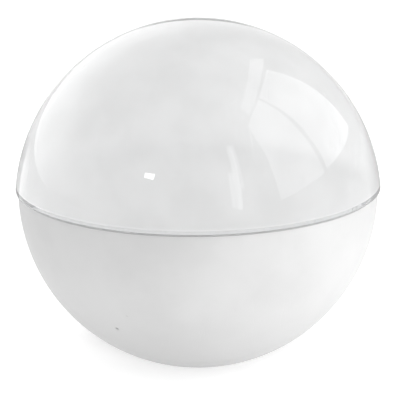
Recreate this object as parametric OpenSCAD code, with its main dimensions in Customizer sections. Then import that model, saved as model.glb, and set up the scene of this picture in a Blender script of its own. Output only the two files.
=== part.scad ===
// Two-piece hollow capsule ball: an opaque white lower shell and a clear dome that plugs into it.
// The origin is the centre of the foot's underside, and +Z is the ball's axis of symmetry.

/* [Base shell] */
// Outside radius of the lower shell
ball_r = 32.5; // [20:0.5:50]
// Wall thickness of the lower shell
base_wall = 1.1; // [1:0.1:1.6]
// Radius of the flat foot that the ball stands on
foot_r = 8; // [6.5:0.5:9]
// Radius of the shallow recess under the foot
recess_r = 5.5; // [3:0.5:6]
// Depth of the recess under the foot
recess_depth = 0.3; // [0.1:0.1:0.5]
// Thickness of the floor above the foot
floor_h = 1.4; // [1.2:0.1:2.5]

/* [Dome] */
// Height of the dome above the seam
dome_h = 30.8; // [27:0.1:31]
// How far the rim of the dome stands out past the lower shell
overhang = 0.5; // [0.2:0.1:0.8]
// Wall thickness of the dome
dome_wall = 0.8; // [0.6:0.1:1.2]
// Height of the solid shoulder that sits on the rim of the lower shell
shoulder_h = 0.7; // [0.5:0.1:1.5]

/* [Plug fit] */
// Depth of the spigot below the shoulder
spigot_h = 2.2; // [1.8:0.1:4]
// Wall thickness of the spigot
spigot_wall = 0.8; // [0.6:0.1:1.2]
// Wall thickness left round the mouth of the lower shell
mouth_wall = 0.9; // [0.8:0.05:1]
// Radial gap between the spigot and the mouth
fit_gap = 0.12; // [0.1:0.01:0.2]
// Radial gap left between the spigot's bead and the mouth
bead_gap = 0.04; // [0.03:0.01:0.06]

/* [Edges] */
// Chamfer on each side of the seam
seam_chamfer = 0.25; // [0.1:0.05:0.35]
// Chamfer at the tip of the spigot and the mouth of the shell
lead_in = 0.2; // [0.1:0.05:0.25]

/* [Hidden] */
$fn = 180;

// The foot cuts the lower sphere where its radius has shrunk to foot_r
seam_z = sqrt(ball_r * ball_r - foot_r * foot_r);
mouth_r = ball_r - mouth_wall;
mouth_depth = spigot_h + 0.4;
spigot_r = mouth_r - fit_gap;
// The dome is a cap of a sphere whose centre lies below the seam
rim_r = ball_r + overhang;
cap_r = (rim_r * rim_r + dome_h * dome_h) / (2 * dome_h);
cap_z = seam_z + dome_h - cap_r;
// Bead on the spigot and the groove in the mouth that it snaps into
bead_size = 0.3;
bead_z = seam_z - spigot_h / 2;
groove_size = 0.35;
groove_bite = 0.2;
// Extra length that keeps cutting shapes clear of the faces they cut
past = 1;

// A square turned on its corner, which takes a 45 degree chamfer off a corner at its centre
module corner_cut(size) {
    rotate(45) square(size * sqrt(2), center = true);
}

// Half of the lower shell's cross-section, with radius along X and height along Y
module base_profile() {
    difference() {
        intersection() {
            translate([0, seam_z]) circle(r = ball_r);
            square([ball_r + past, seam_z]);
        }
        intersection() {
            translate([0, seam_z]) circle(r = ball_r - base_wall);
            translate([-past, floor_h]) square([ball_r + past, seam_z]);
        }
        translate([-past, seam_z - mouth_depth]) square([mouth_r + past, mouth_depth + past]);
        translate([mouth_r + groove_bite - groove_size, bead_z]) circle(r = groove_size, $fn = 48);
        translate([-past, -past]) square([recess_r + past, recess_depth + past]);
        translate([mouth_r, seam_z]) corner_cut(lead_in);
        translate([ball_r, seam_z]) corner_cut(seam_chamfer);
    }
}

// Half of the dome's cross-section, with its shoulder, spigot and bead
module dome_profile() {
    difference() {
        union() {
            intersection() {
                translate([0, cap_z]) circle(r = cap_r);
                translate([0, seam_z]) square([rim_r + past, dome_h + past]);
            }
            difference() {
                translate([0, seam_z - spigot_h]) square([spigot_r, spigot_h + shoulder_h]);
                translate([spigot_r, seam_z - spigot_h]) corner_cut(lead_in);
            }
            translate([mouth_r - bead_gap - bead_size, bead_z]) circle(r = bead_size, $fn = 48);
        }
        intersection() {
            translate([0, cap_z]) circle(r = cap_r - dome_wall);
            translate([-past, seam_z + shoulder_h]) square([rim_r + past, dome_h]);
        }
        translate([-past, seam_z - spigot_h - past])
            square([spigot_r - spigot_wall + past, spigot_h + shoulder_h + 2 * past]);
        translate([rim_r, seam_z]) corner_cut(seam_chamfer);
    }
}

// Opaque lower half with its flat foot, plug mouth and snap groove
module base_shell() {
    color("white") rotate_extrude() base_profile();
}

// Clear upper half with its shoulder, spigot and snap bead
module dome_lid() {
    color("gainsboro", 0.5) rotate_extrude() dome_profile();
}

base_shell();
dome_lid();
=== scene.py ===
"""Looks of a two-piece capsule ball: an opaque white lower shell and a hazy clear dome that plugs into it."""

import math

import bmesh
import bpy
from mathutils import Matrix, Vector, noise


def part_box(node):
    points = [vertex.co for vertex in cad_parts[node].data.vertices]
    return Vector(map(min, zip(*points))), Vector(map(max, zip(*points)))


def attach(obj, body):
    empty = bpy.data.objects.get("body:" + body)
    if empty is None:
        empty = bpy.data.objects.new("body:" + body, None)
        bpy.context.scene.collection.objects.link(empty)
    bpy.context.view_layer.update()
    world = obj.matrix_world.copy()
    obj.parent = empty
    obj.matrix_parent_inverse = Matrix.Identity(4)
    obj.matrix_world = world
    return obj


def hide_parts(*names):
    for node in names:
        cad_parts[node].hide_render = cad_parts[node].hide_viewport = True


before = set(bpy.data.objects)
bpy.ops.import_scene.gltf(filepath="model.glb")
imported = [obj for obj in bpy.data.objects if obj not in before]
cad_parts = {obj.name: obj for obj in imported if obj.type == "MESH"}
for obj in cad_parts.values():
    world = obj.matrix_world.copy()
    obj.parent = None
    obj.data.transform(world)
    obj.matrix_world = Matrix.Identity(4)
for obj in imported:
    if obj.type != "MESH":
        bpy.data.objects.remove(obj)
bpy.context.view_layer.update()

MM = 0.001

# Driving sizes, read off the frame
SHELL_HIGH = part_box("base_shell")[1]
LID_LOW, LID_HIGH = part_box("dome_lid")
BALL_R = SHELL_HIGH[0]
SEAM_Z = SHELL_HIGH[2]
RIM_R = LID_HIGH[0]
DOME_H = LID_HIGH[2] - SEAM_Z
SPIGOT_H = SEAM_Z - LID_LOW[2]
# The dome is a cap of a sphere whose centre lies a little below the seam
CAP_R = (RIM_R ** 2 + DOME_H ** 2) / (2 * DOME_H)
CAP_Z = SEAM_Z + DOME_H - CAP_R
CAP_MIDDLE = Vector((0, 0, CAP_Z))
BALL_MIDDLE = Vector((0, 0, SEAM_Z))

# Walls and fits, as on the real mouldings
BASE_WALL = 1.1 * MM
FLOOR_H = 1.4 * MM
FOOT_R = math.sqrt(BALL_R ** 2 - SEAM_Z ** 2)
RECESS_R = 5.5 * MM
RECESS_H = 0.3 * MM
MOUTH_R = BALL_R - 0.9 * MM
MOUTH_H = SPIGOT_H + 0.4 * MM
DOME_WALL = 0.8 * MM
SHOULDER_H = 0.7 * MM
SHOULDER_Z = SEAM_Z + SHOULDER_H
SPIGOT_R = MOUTH_R - 0.12 * MM
SPIGOT_WALL = 0.8 * MM
BEAD_R = 0.3 * MM
BEAD_GAP = 0.04 * MM
GROOVE_R = 0.35 * MM
GROOVE_BITE = 0.2 * MM

# Rounded edges and small marks that moulding and use leave
SHELL_EDGE = 0.35 * MM
DOME_EDGE = 0.18 * MM
SMALL_EDGE = 0.12 * MM
GATE_R = 0.9 * MM
GATE_H = 0.16 * MM
WAVE_SIZE = 13 * MM
WAVE_H = 0.03 * MM
RIPPLE_SIZE = 4.6 * MM
RIPPLE_H = 0.012 * MM
WAVE_FADE = 6 * MM
NICK_TURN = math.radians(-125.5)
NICK_DROP = math.radians(-39)
NICK_R = 0.36 * MM
NICK_H = 0.3 * MM
NICK_RAGGED = (0.7, 0.6)
NICK_FLAT = math.cos(NICK_DROP)
NICK_OUT = Vector((NICK_FLAT * math.cos(NICK_TURN), NICK_FLAT * math.sin(NICK_TURN), math.sin(NICK_DROP)))
NICK_PLACE = BALL_MIDDLE + NICK_OUT * BALL_R

# Steps of the meshes
TURN_STEPS = 256
ARC_STEP = math.radians(1.5)
BEAD_STEP = math.radians(12)
NICK_SPLITS = 4
# The most of a side that one rounded corner takes, and a radius small enough to be a point on the axis
MOST_OF_SIDE = 0.49
POINT_R = 1e-7

# Plastics: tones of grey, and shares of the light that each takes
PLASTIC_IOR = 1.49
CLEAR_TINT = (0.965, 0.97, 0.975, 1)
CLEAR_TRANSMISSION = 0.85
CLEAR_LAMP_SHARE = 0.97
MILKY_TRANSMISSION = 0.55
MILKY_LAMP_SHARE = 0.93
HAZE_SHARE = 0.55
HAZE_TONES = (0.84, 0.9)
# Painted highlight: the milky face is painted near white just over the shoulder
CORNER_HIGHLIGHT_TONE = 0.97
SHELL_TONES = (0.59, 0.64)
# Painted light: the shell's inside is painted brighter than its outside, though it is the same plastic
INSIDE_PAINTED_LIT_TONES = (0.84, 0.87)
# Painted shade: the shell is painted darker towards the foot
FOOT_SHADE_TONE = 0.5
FOOT_SHADE_SHARE = 0.65
SPECK_TONE = 0.45
SPECK_SHARE = 0.35
# Painted shade and grime: a dark line painted along the seam
SEAM_SHADE_GRIME_TONE = 0.12
SEAM_SHADE_GRIME_SHARE = 0.9
# Painted shade and grime: a dark spot painted in the nick
NICK_SHADE_GRIME_TONE = 0.25
NICK_SHADE_GRIME_SHARE = 0.7

# Roughnesses, and how much a scratch adds or a scuff takes off
CLEAR_ROUGH = (0.015, 0.07)
SCRATCH_ROUGH = 0.12
MILKY_ROUGH = (0.04, 0.09)
INSIDE_ROUGH = (0.4, 0.5)
MATTE_ROUGH = (0.46, 0.56)
SCUFF_POLISH = 0.08
FLOOR_ROUGH = 0.9

# Marks in the surfaces: sizes across and heights in metres, and levels of the noise where each starts
SMUDGE_SIZE = 9 * MM
SMUDGE_LEVELS = (0.5, 0.75)
HAZE_SIZE = 8 * MM
HAZE_LEVELS = (0.35, 0.65)
CLOUD_SIZE = 14 * MM
CLOUD_LEVELS = (0.3, 0.7)
SPECK_SIZE = 1.4 * MM
SPECK_LEVELS = (0.9, 0.92)
GRAIN_SIZE = 0.22 * MM
GRAIN_H = 0.012 * MM
INSIDE_GRAIN_SIZE = 0.3 * MM
INSIDE_GRAIN_H = 0.008 * MM
MILKY_GRAIN_SIZE = 0.5 * MM
MILKY_GRAIN_H = 0.003 * MM
HAIR_H = 0.015 * MM
SCUFF_H = 0.006 * MM
HAIR_STRETCH = (1, 0.04, 0.04)
HAIR_WIDTH = 0.012
PATCH_SIZE = 6 * MM
PATCH_LEVELS = (0.56, 0.62)
# Where the painted highlight over the shoulder, the painted shade and grime at the seam and the painted shade
# at the foot lie
CORNER_HIGHLIGHT_H = (0.15 * MM, 0.35 * MM)
SEAM_SHADE_GRIME_DEPTH = (0.28 * MM, 0.1 * MM)
SEAM_SHADE_GRIME_REACH = (0.45 * MM, 0.3 * MM)
FOOT_SHADE_Z = (19 * MM, 3 * MM)

# The floor glows a little round the ball as a painted pool of light, so that it comes out as white there, and
# a painted shadow takes the glow away under the ball
FLOOR_HALF = 6
FLOOR_TONES = (0.64, 0.66)
FLOOR_MOTTLE = 40 * MM
FLOOR_GLOW = (0.15, 0.53)
POOL_MIDDLE = (0, 0.14, 0)
POOL_NEAR = 0.152
POOL_FAR = 0.36
POOL_SIDE = (0.038, 0.25)
POOL_FRONT = (-0.2, -0.032)
POOL_LEAST = 0.2
# Where the painted shadow under the ball lies
UNDER_MIDDLE = (0, 0.018, 0)
UNDER_EDGE = (0.007, 0.026)

# The room
WALL_FAR = 1.0
FRONT_GLOW = 0.85
BACK_GLOW = 0.71
TOP_GLOW = 0.08
LEFT_BACK_GLOW = 0.8
DOOR_GLOW = 0.25
REFLECTOR_Y = 0.06
REFLECTOR_FADE = 0.65
ROOM_GLOW = 0.8

# The camera looks along +Y from a long way off and a little above
CAMERA_FAR = 1.2
CAMERA_RISE = math.radians(15.2)
CAMERA_ROLL = math.radians(0.45)
CAMERA_CLIP = (0.05, 20)
BALL_SHARE = 0.8995
AIM_LOWER = 2.22 * MM
AIM_RIGHT = 0.34 * MM
TOWARDS_CAMERA = Vector((0, -math.cos(CAMERA_RISE), math.sin(CAMERA_RISE)))
CAMERA_UP = Vector((0, math.sin(CAMERA_RISE), math.cos(CAMERA_RISE)))
CAMERA_RIGHT = Vector((1, 0, 0))


def arc(centre_r, centre_z, radius, start, end, step=ARC_STEP):
    """Points (r, z, 0) along an arc between two angles, measured up from outwards."""
    count = max(2, math.ceil(abs(end - start) / step))
    angles = [start + (end - start) * i / count for i in range(count + 1)]
    return [(centre_r + radius * math.cos(a), centre_z + radius * math.sin(a), 0) for a in angles]


def soften(corners, steps=5):
    """Rounds each corner (r, z, radius) of a closed outline that has a radius."""
    outline = []
    for i, (r, z, radius) in enumerate(corners):
        here = Vector((r, z))
        if radius <= 0:
            outline.append(here)
            continue
        back = Vector(corners[i - 1][:2]) - here
        ahead = Vector(corners[(i + 1) % len(corners)][:2]) - here
        reach = radius / math.tan(back.angle(ahead) / 2)
        reach = min(reach, MOST_OF_SIDE * back.length, MOST_OF_SIDE * ahead.length)
        first = here + back.normalized() * reach
        last = here + ahead.normalized() * reach
        for k in range(steps + 1):
            t = k / steps
            outline.append(first.lerp(here, t).lerp(here.lerp(last, t), t))
    return outline


def revolve(outline):
    """A closed mesh made by turning an outline about the ball's axis."""
    mesh = bmesh.new()
    turns = [2 * math.pi * k / TURN_STEPS for k in range(TURN_STEPS)]
    rings = []
    for r, z in outline:
        if r < POINT_R:
            rings.append([mesh.verts.new((0, 0, z))])
        else:
            rings.append([mesh.verts.new((r * math.cos(a), r * math.sin(a), z)) for a in turns])
    for one, other in zip(rings, rings[1:] + rings[:1]):
        if len(one) == len(other) == 1:
            continue
        for k in range(TURN_STEPS):
            after = (k + 1) % TURN_STEPS
            corners = [one[k % len(one)], one[after % len(one)]]
            corners += [other[after % len(other)], other[k % len(other)]]
            mesh.faces.new(list(dict.fromkeys(corners)))
    bmesh.ops.recalc_face_normals(mesh, faces=mesh.faces)
    return mesh


def as_object(name, mesh, materials):
    """Turns a bmesh into a smooth-shaded object in the scene."""
    for face in mesh.faces:
        face.smooth = True
    data = bpy.data.meshes.new(name)
    mesh.to_mesh(data)
    mesh.free()
    for material in materials:
        data.materials.append(material)
    piece = bpy.data.objects.new(name, data)
    bpy.context.scene.collection.objects.link(piece)
    return piece


def as_sheet(name, corners, material):
    """A flat four-cornered object in the scene."""
    data = bpy.data.meshes.new(name)
    data.from_pydata(corners, [], [(0, 1, 2, 3)])
    data.materials.append(material)
    sheet = bpy.data.objects.new(name, data)
    bpy.context.scene.collection.objects.link(sheet)
    return sheet


def shell_outline():
    """The lower shell's cross-section, from the middle of the recess round the outside to the floor."""
    inner_r = BALL_R - BASE_WALL
    foot_angle = -math.acos(FOOT_R / BALL_R)
    step_z = SEAM_Z - MOUTH_H
    step_angle = -math.asin(MOUTH_H / inner_r)
    floor_r = math.sqrt(inner_r ** 2 - (SEAM_Z - FLOOR_H) ** 2)
    floor_angle = -math.acos(floor_r / inner_r)
    groove_z = SEAM_Z - SPIGOT_H / 2
    groove_mid = MOUTH_R + GROOVE_BITE - GROOVE_R
    groove_half = math.acos((MOUTH_R - groove_mid) / GROOVE_R)
    gate_z = RECESS_H - GATE_H
    corners = [(0, gate_z, 0), (GATE_R, gate_z, GATE_H / 2), (GATE_R, RECESS_H, GATE_H / 3)]
    corners += [(RECESS_R, RECESS_H, SMALL_EDGE), (RECESS_R, 0, SMALL_EDGE), (FOOT_R, 0, 2 * SHELL_EDGE)]
    corners += arc(0, SEAM_Z, BALL_R, foot_angle, 0)[1:-1]
    corners += [(BALL_R, SEAM_Z, SHELL_EDGE), (MOUTH_R, SEAM_Z, SHELL_EDGE / 2)]
    corners += arc(groove_mid, groove_z, GROOVE_R, groove_half, -groove_half, BEAD_STEP)
    corners += [(MOUTH_R, step_z, SMALL_EDGE)]
    corners += arc(0, SEAM_Z, inner_r, step_angle, floor_angle)[:-1]
    corners += [(floor_r, FLOOR_H, 4 * SHELL_EDGE), (0, FLOOR_H, 0)]
    return soften(corners)


def dome_outline():
    """The dome's cross-section, from the top of the inside round the spigot to the top of the outside."""
    inner_r = CAP_R - DOME_WALL
    shoulder_angle = math.asin((SHOULDER_Z - CAP_Z) / inner_r)
    rim_angle = math.asin((SEAM_Z - CAP_Z) / CAP_R)
    spigot_in = SPIGOT_R - SPIGOT_WALL
    bead_z = SEAM_Z - SPIGOT_H / 2
    bead_mid = MOUTH_R - BEAD_GAP - BEAD_R
    bead_half = math.acos((SPIGOT_R - bead_mid) / BEAD_R)
    corners = arc(0, CAP_Z, inner_r, math.pi / 2, shoulder_angle)[:-1]
    corners += [(inner_r * math.cos(shoulder_angle), SHOULDER_Z, SMALL_EDGE)]
    corners += [(spigot_in, SHOULDER_Z, SMALL_EDGE), (spigot_in, LID_LOW[2], SMALL_EDGE)]
    corners += [(SPIGOT_R, LID_LOW[2], 2 * SMALL_EDGE)]
    corners += arc(bead_mid, bead_z, BEAD_R, -bead_half, bead_half, BEAD_STEP)
    corners += [(SPIGOT_R, SEAM_Z, SMALL_EDGE), (RIM_R, SEAM_Z, DOME_EDGE)]
    corners += arc(0, CAP_Z, CAP_R, rim_angle, math.pi / 2)[1:]
    return soften(corners)


def wave(out, size, height):
    """How far a wave of that size moves the dome's wall along a direction, always inwards."""
    return (noise.noise(out * CAP_R / size) - 1) * height


def add_waves(mesh):
    """Moves the dome's wall inwards by a little here and there, as a moulded wall is never quite true."""
    for vert in mesh.verts:
        fade = min(max((vert.co.z - SHOULDER_Z) / WAVE_FADE, 0), 1)
        out = (vert.co - CAP_MIDDLE).normalized()
        vert.co += out * (wave(out, WAVE_SIZE, WAVE_H) + wave(out, RIPPLE_SIZE, RIPPLE_H)) * fade


def add_nick(mesh):
    """A small dent low on the front left of the lower shell."""
    reach = min(3 * NICK_R, 0.9 * BASE_WALL)
    least, more = NICK_RAGGED
    for _ in range(NICK_SPLITS):
        edges = [e for e in mesh.edges if (e.verts[0].co - NICK_PLACE).length < reach]
        bmesh.ops.subdivide_edges(mesh, edges=edges, cuts=1, use_grid_fill=True)
    for vert in mesh.verts:
        gap = vert.co - NICK_PLACE
        if gap.length > reach:
            continue
        depth = math.exp(-(gap.length / NICK_R) ** 2)
        ragged = least + more * noise.noise(vert.co / (0.5 * NICK_R))
        on_sphere = BALL_MIDDLE + (vert.co - BALL_MIDDLE).normalized() * BALL_R
        vert.co = on_sphere - NICK_OUT * NICK_H * depth * ragged


class Tree:
    """A node tree of a material or world, with short ways to add and join nodes."""

    def __init__(self, owner, shader="Principled BSDF", place="Object"):
        self.owner = owner
        owner.use_nodes = True
        self.nodes = owner.node_tree.nodes
        self.links = owner.node_tree.links
        self.shader = self.nodes[shader]
        self.place = self.add("TexCoord").outputs[place]

    def add(self, kind, **values):
        """A node of that kind, with its attributes or sockets set by name."""
        node = self.nodes.new("ShaderNode" + kind)
        for key, value in values.items():
            if hasattr(node, key):
                setattr(node, key, value)
            else:
                self.join(value, node.inputs[key.replace("_", " ")])
        return node

    def join(self, value, socket):
        """Links a socket to another, or sets a plain value on it."""
        if isinstance(value, bpy.types.NodeSocket):
            self.links.new(value, socket)
        else:
            socket.default_value = value

    def set(self, **values):
        """Sets or links sockets of the tree's own shader."""
        for key, value in values.items():
            self.join(value, self.shader.inputs[key.replace("_", " ")])

    def show(self, shader):
        """Makes the material's surface show that shader node."""
        self.links.new(shader.outputs[0], self.nodes["Material Output"].inputs["Surface"])

    def axis(self, name):
        """One coordinate of the place on the object, or of the direction in a world."""
        return self.add("SeparateXYZ", Vector=self.place).outputs[name]

    def noise(self, size, detail, stretch=(1, 1, 1), turn=(0, 0, 0)):
        """Smooth noise whose lumps are about that size in metres, from 0 to 1."""
        place = self.add("Mapping", Vector=self.place, Rotation=turn, Scale=stretch).outputs[0]
        return self.add("TexNoise", Vector=place, Scale=1 / size, Detail=detail).outputs["Fac"]

    def ramp(self, value, low, high, out_low=0.0, out_high=1.0):
        """Maps low..high to out_low..out_high and holds the ends."""
        node = self.add("MapRange", Value=value, interpolation_type="SMOOTHSTEP")
        for name, number in zip(("From Min", "From Max", "To Min", "To Max"), (low, high, out_low, out_high)):
            node.inputs[name].default_value = number
        return node.outputs[0]

    def maths(self, operation, one, other=0):
        """One arithmetic step."""
        node = self.add("Math", operation=operation)
        self.join(one, node.inputs[0])
        self.join(other, node.inputs[1])
        return node.outputs[0]

    def colour(self, share, one, other):
        """A mix of two greys or colours."""
        node = self.add("Mix", data_type="RGBA")
        for name, value in (("Factor", share), ("A", one), ("B", other)):
            sockets = [s for s in node.inputs if s.name == name and s.enabled]
            self.join(value, sockets[-1])
        return [s for s in node.outputs if s.enabled][0]

    def hairlines(self, size, turn):
        """Short fine scratches that run one way, 1 on a scratch and 0 off it."""
        across = self.noise(size, 1, HAIR_STRETCH, turn)
        off_line = self.maths("ABSOLUTE", self.maths("SUBTRACT", across, 0.5))
        narrow = self.ramp(off_line, 0, HAIR_WIDTH, 1, 0)
        patch = self.ramp(self.noise(PATCH_SIZE, 2, (1, 1, 1), turn), *PATCH_LEVELS)
        return self.maths("MULTIPLY", narrow, patch)

    def near(self, middle, inner, outer, top=1.0):
        """Falls smoothly from top, within inner of a point, to 0 at outer."""
        away = self.add("VectorMath", operation="DISTANCE")
        self.join(self.place, away.inputs[0])
        self.join(middle, away.inputs[1])
        return self.ramp(away.outputs["Value"], inner, outer, top, 0)

    def spot(self, azimuth, rise, inner, outer):
        """For a world: 1 within inner of a direction, falling smoothly to 0 at outer, all in degrees."""
        azimuth, rise, inner, outer = (math.radians(a) for a in (azimuth, rise, inner, outer))
        toward = self.add("VectorMath", operation="DOT_PRODUCT")
        self.join(self.place, toward.inputs[0])
        self.join(aimed(azimuth, rise), toward.inputs[1])
        return self.ramp(toward.outputs["Value"], math.cos(outer), math.cos(inner))

    def bump(self, height, distance, under=None):
        """A bump of that height in metres, over another if one is given."""
        node = self.add("Bump", Height=height, Distance=distance, Strength=1.0)
        if under is not None:
            self.join(under, node.inputs["Normal"])
        return node.outputs[0]

    def glows_through(self, share, tone):
        """Mixes in light scattered forward from the far side, as haze in a clear wall does."""
        forward = self.add("BsdfTranslucent", Color=tone)
        both = self.add("MixShader")
        self.join(share, both.inputs[0])
        self.links.new(self.shader.outputs[0], both.inputs[1])
        self.links.new(forward.outputs[0], both.inputs[2])
        self.shader = both

    def lets_lamps_through(self, share):
        """Adds a clear path for lamp light, which a bent path through glass would miss."""
        clear = self.add("BsdfTransparent", Color=grey(share))
        path = self.add("LightPath")
        both = self.add("MixShader")
        self.links.new(path.outputs["Is Shadow Ray"], both.inputs[0])
        self.links.new(self.shader.outputs[0], both.inputs[1])
        self.links.new(clear.outputs[0], both.inputs[2])
        self.show(both)


def grey(value):
    """An opaque grey."""
    return (value, value, value, 1)


def aimed(azimuth, rise):
    """The unit direction with that azimuth from +X and that rise over the horizon, in radians."""
    flat = math.cos(rise)
    return Vector((flat * math.cos(azimuth), flat * math.sin(azimuth), math.sin(rise)))


def new_material(name):
    """The node tree of a new material."""
    return Tree(bpy.data.materials.new(name))


def clear_plastic():
    """Clear glossy plastic with hairline scratches and faint smudges."""
    tree = new_material("clear_plastic")
    smudge = tree.ramp(tree.noise(SMUDGE_SIZE, 4), *SMUDGE_LEVELS)
    one_way = tree.hairlines(size=1.3 * MM, turn=(0.4, 0.9, 0))
    other_way = tree.hairlines(size=1.7 * MM, turn=(1.2, 0.2, 2.1))
    hairs = tree.maths("MAXIMUM", one_way, other_way)
    smudged = tree.ramp(smudge, 0, 1, *CLEAR_ROUGH)
    scratched = tree.ramp(hairs, 0, 1, 0, SCRATCH_ROUGH)
    tree.set(Base_Color=CLEAR_TINT, Roughness=tree.maths("ADD", smudged, scratched))
    tree.set(IOR=PLASTIC_IOR, Transmission_Weight=CLEAR_TRANSMISSION)
    tree.set(Normal=tree.bump(hairs, -HAIR_H))
    tree.lets_lamps_through(CLEAR_LAMP_SHARE)
    return tree.owner


def milky_plastic():
    """The dome's inner face, whose haze scatters light. Its colour is brightest in the corner over the
    shoulder, a painted highlight.
    """
    tree = new_material("milky_plastic")
    cloud = tree.noise(HAZE_SIZE, 4)
    tone = tree.colour(tree.ramp(cloud, *HAZE_LEVELS), *(grey(t) for t in HAZE_TONES))
    # Painted highlight: a bright band in the colour just over the shoulder
    low, high = (SHOULDER_Z + h for h in CORNER_HIGHLIGHT_H)
    tone = tree.colour(tree.ramp(tree.axis("Z"), low, high, 1, 0), tone, grey(CORNER_HIGHLIGHT_TONE))
    tree.set(Base_Color=tone, Roughness=tree.ramp(cloud, *HAZE_LEVELS, *MILKY_ROUGH))
    tree.set(IOR=PLASTIC_IOR, Transmission_Weight=MILKY_TRANSMISSION)
    tree.set(Normal=tree.bump(tree.noise(MILKY_GRAIN_SIZE, 2), MILKY_GRAIN_H))
    tree.glows_through(HAZE_SHARE, tone)
    tree.lets_lamps_through(MILKY_LAMP_SHARE)
    return tree.owner


def white_inside_painted_lit():
    """The same white plastic on the inside of the shell, painted brighter than the outside as painted light
    in the bowl.
    """
    tree = new_material("white_inside_painted_lit")
    cloud = tree.noise(CLOUD_SIZE, 4)
    # Painted light: brighter greys than the outside's
    tone = tree.colour(tree.ramp(cloud, *CLOUD_LEVELS), *(grey(t) for t in INSIDE_PAINTED_LIT_TONES))
    tree.set(Base_Color=tone, Roughness=tree.ramp(cloud, *CLOUD_LEVELS, *INSIDE_ROUGH), IOR=PLASTIC_IOR)
    tree.set(Normal=tree.bump(tree.noise(INSIDE_GRAIN_SIZE, 2), INSIDE_GRAIN_H))
    return tree.owner


def white_plastic():
    """Opaque matte white plastic with a fine moulded grain, scuffs and specks, painted shade towards the
    foot, and painted shade and grime in the seam and the nick.
    """
    tree = new_material("white_plastic")
    cloud = tree.noise(CLOUD_SIZE, 4)
    speck = tree.ramp(tree.noise(SPECK_SIZE, 0), *SPECK_LEVELS)
    one_way = tree.hairlines(size=1.9 * MM, turn=(0.3, 1.1, 0.4))
    other_way = tree.hairlines(size=2.3 * MM, turn=(1.7, 0.5, 1.0))
    scuff = tree.maths("MAXIMUM", one_way, other_way)
    height = tree.axis("Z")
    # Painted shade: the colour darkens towards the foot
    foot = tree.ramp(height, *FOOT_SHADE_Z, 0, FOOT_SHADE_SHARE)
    # Painted shade and grime: a dark band painted along the seam's edge
    low, high = (SEAM_Z - depth for depth in SEAM_SHADE_GRIME_DEPTH)
    inner, outer = (BALL_R - reach for reach in SEAM_SHADE_GRIME_REACH)
    at_edge = tree.maths("SUBTRACT", 1, tree.near((0, 0, SEAM_Z), inner, outer))
    seam = tree.maths("MULTIPLY", tree.ramp(height, low, high), at_edge)
    # Painted shade and grime: a dark spot painted in the nick
    dent = tree.near(NICK_PLACE, 0.5 * NICK_R, 1.3 * NICK_R, NICK_SHADE_GRIME_SHARE)
    tone = tree.colour(tree.ramp(cloud, *CLOUD_LEVELS), *(grey(t) for t in SHELL_TONES))
    tone = tree.colour(foot, tone, grey(FOOT_SHADE_TONE))
    tone = tree.colour(tree.maths("MULTIPLY", speck, SPECK_SHARE), tone, grey(SPECK_TONE))
    tone = tree.colour(tree.maths("MULTIPLY", seam, SEAM_SHADE_GRIME_SHARE), tone, grey(SEAM_SHADE_GRIME_TONE))
    tone = tree.colour(dent, tone, grey(NICK_SHADE_GRIME_TONE))
    matte = tree.ramp(cloud, *CLOUD_LEVELS, *MATTE_ROUGH)
    polished = tree.ramp(scuff, 0, 1, 0, SCUFF_POLISH)
    tree.set(Base_Color=tone, Roughness=tree.maths("SUBTRACT", matte, polished), IOR=PLASTIC_IOR)
    grain = tree.bump(tree.noise(GRAIN_SIZE, 2), GRAIN_H)
    tree.set(Normal=tree.bump(scuff, -SCUFF_H, grain))
    return tree.owner


def make_shell():
    """The opaque white lower shell."""
    mesh = revolve(shell_outline())
    add_nick(mesh)
    inside = BALL_R - BASE_WALL / 2
    for face in mesh.faces:
        middle = face.calc_center_median()
        if middle.z > FLOOR_H / 2 and (middle - BALL_MIDDLE).length < inside:
            face.material_index = 1
    piece = as_object("white_shell", mesh, [white_plastic(), white_inside_painted_lit()])
    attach(piece, "base")
    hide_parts("base_shell")


def make_dome():
    """The hazy clear dome that plugs into the lower shell."""
    mesh = revolve(dome_outline())
    inside = CAP_R - DOME_WALL / 2
    for face in mesh.faces:
        middle = face.calc_center_median()
        if middle.z > SHOULDER_Z and (middle - CAP_MIDDLE).length < inside:
            face.material_index = 1
    add_waves(mesh)
    piece = as_object("clear_dome", mesh, [clear_plastic(), milky_plastic()])
    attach(piece, "dome")
    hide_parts("dome_lid")


def make_floor():
    """A wide pale floor under the foot with a painted pool of light: it glows most round the ball, and as a
    painted shadow not at all under it.
    """
    tree = new_material("pale_floor")
    sides = tree.ramp(tree.maths("ABSOLUTE", tree.axis("X")), *POOL_SIDE, 1, POOL_LEAST)
    front = tree.ramp(tree.axis("Y"), *POOL_FRONT, POOL_LEAST, 1)
    pool = tree.near(POOL_MIDDLE, POOL_NEAR, POOL_FAR)
    pool = tree.maths("MULTIPLY", pool, tree.maths("MULTIPLY", sides, front))
    # Painted shadow: no glow under the ball
    shade = tree.maths("SUBTRACT", 1, tree.near(UNDER_MIDDLE, *UNDER_EDGE))
    glow = tree.maths("MULTIPLY", shade, tree.ramp(pool, 0, 1, *FLOOR_GLOW))
    mottle = tree.colour(tree.noise(FLOOR_MOTTLE, 3), *(grey(t) for t in FLOOR_TONES))
    tree.set(Base_Color=mottle, Roughness=FLOOR_ROUGH, Emission_Color=grey(1), Emission_Strength=glow)
    half = FLOOR_HALF
    corners = [(-half, -half, 0), (half, -half, 0), (half, half, 0), (-half, half, 0)]
    floor = as_sheet("floor", corners, tree.owner)


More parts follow.
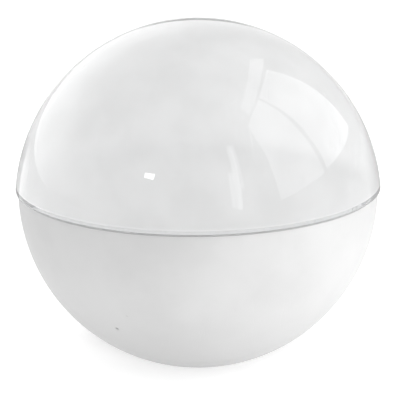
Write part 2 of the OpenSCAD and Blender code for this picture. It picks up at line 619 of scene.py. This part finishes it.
def add_lamp(name, axes, middle, wide, tall, glow, mirrored=True):
    """A rectangular lamp of that brightness. The camera doesn't see it, and gloss mirrors it if asked."""
    light = bpy.data.lights.new(name, "AREA")
    light.shape = "RECTANGLE"
    light.size = wide
    light.size_y = tall
    light.energy = glow * wide * tall * math.pi
    lamp = bpy.data.objects.new(name, light)
    bpy.context.scene.collection.objects.link(lamp)
    lamp.matrix_world = Matrix.Translation(middle) @ Matrix(axes).transposed().to_4x4()
    lamp.visible_camera = False
    lamp.visible_glossy = mirrored
    lamp.visible_transmission = mirrored


def add_pane(name, near, far, low, high, glow):
    """A window pane in the wall at the right, given as shares of that wall's distance."""
    middle = BALL_MIDDLE + Vector((1, (near + far) / 2, (low + high) / 2)) * WALL_FAR
    axes = (Vector((0, 1, 0)), Vector((0, 0, 1)), Vector((1, 0, 0)))
    add_lamp(name, axes, middle, (far - near) * WALL_FAR, (high - low) * WALL_FAR, glow)


def add_card(name, azimuth, rise, wide, tall, glow, mirrored=True):
    """A soft card that faces the ball from a direction, all in degrees."""
    azimuth, rise, wide, tall = (math.radians(a) for a in (azimuth, rise, wide, tall))
    outwards = aimed(azimuth, rise)
    across = Vector((-math.sin(azimuth), math.cos(azimuth), 0))
    axes = (across, outwards.cross(across), outwards)
    middle = BALL_MIDDLE + outwards * WALL_FAR
    wide, tall = (2 * WALL_FAR * math.tan(a / 2) for a in (wide, tall))
    add_lamp(name, axes, middle, wide, tall, glow, mirrored)


def add_reflector(name, near, far, bend, tall, near_glow, far_glow):
    """A card that stands beside the ball and shows only in gloss. Its glow changes over the bend, and fades
    into the room's at the top."""
    tree = new_material(name)
    out = tree.maths("ABSOLUTE", tree.axis("X"))
    glow = tree.ramp(out, *bend, near_glow, far_glow)
    top = tree.ramp(tree.axis("Z"), REFLECTOR_FADE * tall, tall)
    kept = tree.maths("MULTIPLY", glow, tree.maths("SUBTRACT", 1, top))
    glow = tree.maths("ADD", kept, tree.maths("MULTIPLY", top, ROOM_GLOW))
    tree.show(tree.add("Emission", Strength=glow))
    corners = [(x, REFLECTOR_Y, z) for x, z in ((near, 0), (far, 0), (far, tall), (near, tall))]
    card = as_sheet(name, corners, tree.owner)
    card.visible_camera = False
    card.visible_diffuse = False
    card.visible_transmission = False
    card.visible_shadow = False


def make_room():
    """Soft light all round, more in front, overhead and at the left back, with a dark doorway behind."""
    world = bpy.data.worlds.new("soft_room")
    tree = Tree(world, "Background", "Generated")
    level = tree.ramp(tree.axis("Y"), -1, 0.2, FRONT_GLOW, BACK_GLOW)
    level = tree.maths("ADD", level, tree.ramp(tree.axis("Z"), 0, 1, 0, TOP_GLOW))
    left_back = tree.spot(azimuth=124, rise=6, inner=5, outer=54)
    level = tree.maths("ADD", level, tree.maths("MULTIPLY", left_back, LEFT_BACK_GLOW))
    door = tree.spot(azimuth=90, rise=2, inner=2, outer=7)
    level = tree.maths("MULTIPLY", level, tree.ramp(door, 0, 1, 1, DOOR_GLOW))
    tree.set(Color=grey(1), Strength=level)
    bpy.context.scene.world = world


def make_lights():
    """A window in the wall at the right, a tall soft card in front, a small lamp at the left, a fill that
    gloss doesn't mirror, and the two cards that give the dome its grey outline at the ends of the seam."""
    add_pane("pane_far", near=0.08, far=1.03, low=0.22, high=1.68, glow=1.15)
    add_pane("pane_near", near=-0.75, far=0.02, low=0.2, high=1.68, glow=1.15)
    add_pane("pane_top", near=-0.45, far=1.6, low=1.78, high=2.3, glow=0.8)
    add_card("card_front_1", azimuth=-67, rise=20, wide=3.5, tall=20, glow=1.2)
    add_card("card_front_2", azimuth=-63.5, rise=27, wide=3, tall=38, glow=1.7)
    add_card("card_front_3", azimuth=-60.8, rise=33, wide=2.5, tall=26, glow=1.3)
    add_card("lamp_left", azimuth=-123.4, rise=27.2, wide=6.3, tall=3.2, glow=9)
    add_card("fill_right", azimuth=-25, rise=4, wide=50, tall=11, glow=5.9, mirrored=False)
    add_reflector("reflector_right", near=0.03, far=0.092, bend=(0.068, 0.09), tall=0.042,
                  near_glow=0.5, far_glow=ROOM_GLOW)
    add_reflector("reflector_left", near=-0.03, far=-0.088, bend=(0.06, 0.068), tall=0.04,
                  near_glow=0.5, far_glow=1.2)


def make_camera():
    """A long lens at the ball, a little above its equator."""
    data = bpy.data.cameras.new("camera")
    camera = bpy.data.objects.new("camera", data)
    bpy.context.scene.collection.objects.link(camera)
    bpy.context.scene.camera = camera
    aim = BALL_MIDDLE - CAMERA_UP * AIM_LOWER + CAMERA_RIGHT * AIM_RIGHT
    camera.location = aim + TOWARDS_CAMERA * CAMERA_FAR
    spread = BALL_R / math.sqrt(CAMERA_FAR ** 2 - BALL_R ** 2)
    data.lens = data.sensor_width / 2 / (spread / BALL_SHARE)
    camera.rotation_mode = "QUATERNION"
    facing = (-TOWARDS_CAMERA).to_track_quat("-Z", "Y")
    camera.rotation_quaternion = facing @ Matrix.Rotation(-CAMERA_ROLL, 3, "Z").to_quaternion()
    data.clip_start, data.clip_end = CAMERA_CLIP


make_camera()
make_shell()
make_dome()
make_floor()
make_room()
make_lights()
bpy.context.scene.view_settings.view_transform = "Standard"
